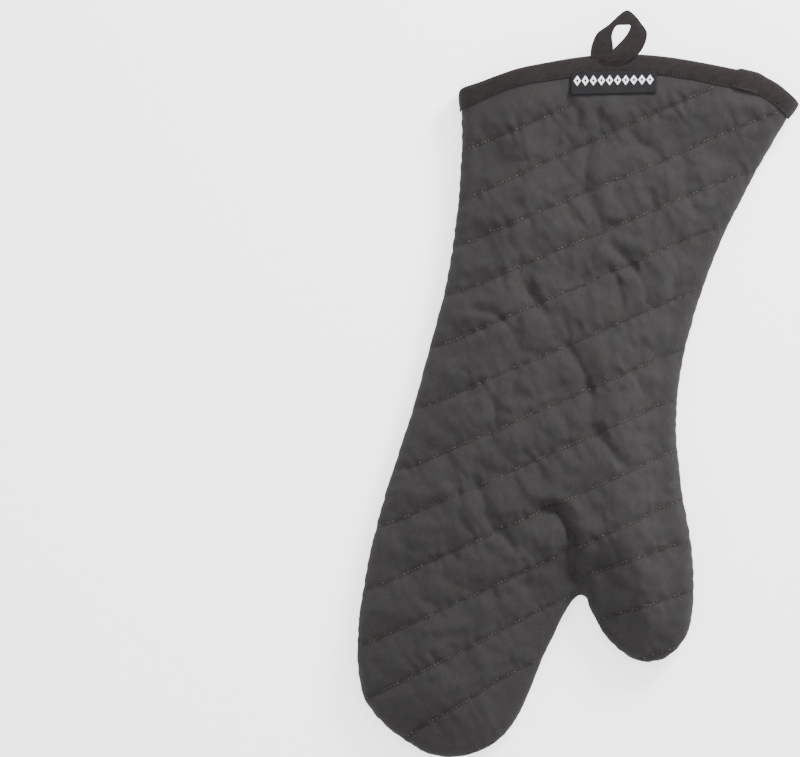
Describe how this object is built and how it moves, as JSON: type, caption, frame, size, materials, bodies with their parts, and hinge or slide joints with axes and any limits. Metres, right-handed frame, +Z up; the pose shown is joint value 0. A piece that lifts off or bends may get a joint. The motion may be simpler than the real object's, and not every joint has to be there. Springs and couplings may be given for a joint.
{
  "type": "oven mitt",
  "caption": "Long quilted oven mitt lying palm down, with a thumb that bends, a bound cuff open at the wrist, a folded hanging loop and a plain woven label.",
  "frame": {"origin": "centre of the mitt's box in plan, on the flat face that it lies on", "axes": "+Y along the mitt towards the cuff and its loop, +Z up out of the back of the hand, +X towards the thumb's side"},
  "size_m": [0.2004, 0.4251, 0.0381],
  "materials": {
    "outer_cloth": "plain weave cotton, heathered charcoal",
    "batting": "needled cotton filling",
    "lining": "natural cotton terry",
    "bias_tape": "folded cotton bias tape, brownish black",
    "label": "woven satin label",
    "thread": "spun polyester sewing thread"
  },
  "bodies": {
    "hand": {"back_shell": "outer_cloth", "back_batting": "batting", "back_lining": "lining", "palm_shell": "outer_cloth", "palm_batting": "batting", "palm_lining": "lining", "cuff_binding": "bias_tape", "binding_thread": "thread", "loop_tails": "bias_tape", "bar_tack": "thread", "quilting_row_01": "thread", "quilting_row_02": "thread", "quilting_row_03": "thread", "quilting_row_04": "thread", "quilting_row_05": "thread", "quilting_row_06": "thread", "quilting_row_07": "thread", "quilting_row_08": "thread", "quilting_row_09": "thread", "quilting_row_10": "thread", "quilting_row_11": "thread", "quilting_row_12": "thread"},
    "thumb": {"thumb_back_shell": "outer_cloth", "thumb_back_batting": "batting", "thumb_back_lining": "lining", "thumb_palm_shell": "outer_cloth", "thumb_palm_batting": "batting", "thumb_palm_lining": "lining", "thumb_quilting_row_01": "thread", "thumb_quilting_row_02": "thread"},
    "loop": {"hanging_loop": "bias_tape"},
    "label": {"woven_label": "label"}
  },
  "joints": [
    {"name": "thumb_flex", "type": "hinge", "parent": "hand", "child": "thumb", "pos_m": [0.05765, -0.0725, 0.013], "axis": [0.3961, 0.9182, 0], "range_deg": [-30, 40]},
    {"name": "loop_swing", "type": "hinge", "parent": "hand", "child": "loop", "pos_m": [-0.0238, 0.1878, 0.03102], "axis": [0.9641, 0.2656, 0], "range_deg": [-65, 140]},
    {"name": "label_lift", "type": "hinge", "parent": "hand", "child": "label", "pos_m": [-0.02155, 0.17217, 0.02995], "axis": [-0.9613, -0.2756, 0], "range_deg": [0, 120]}
  ]
}
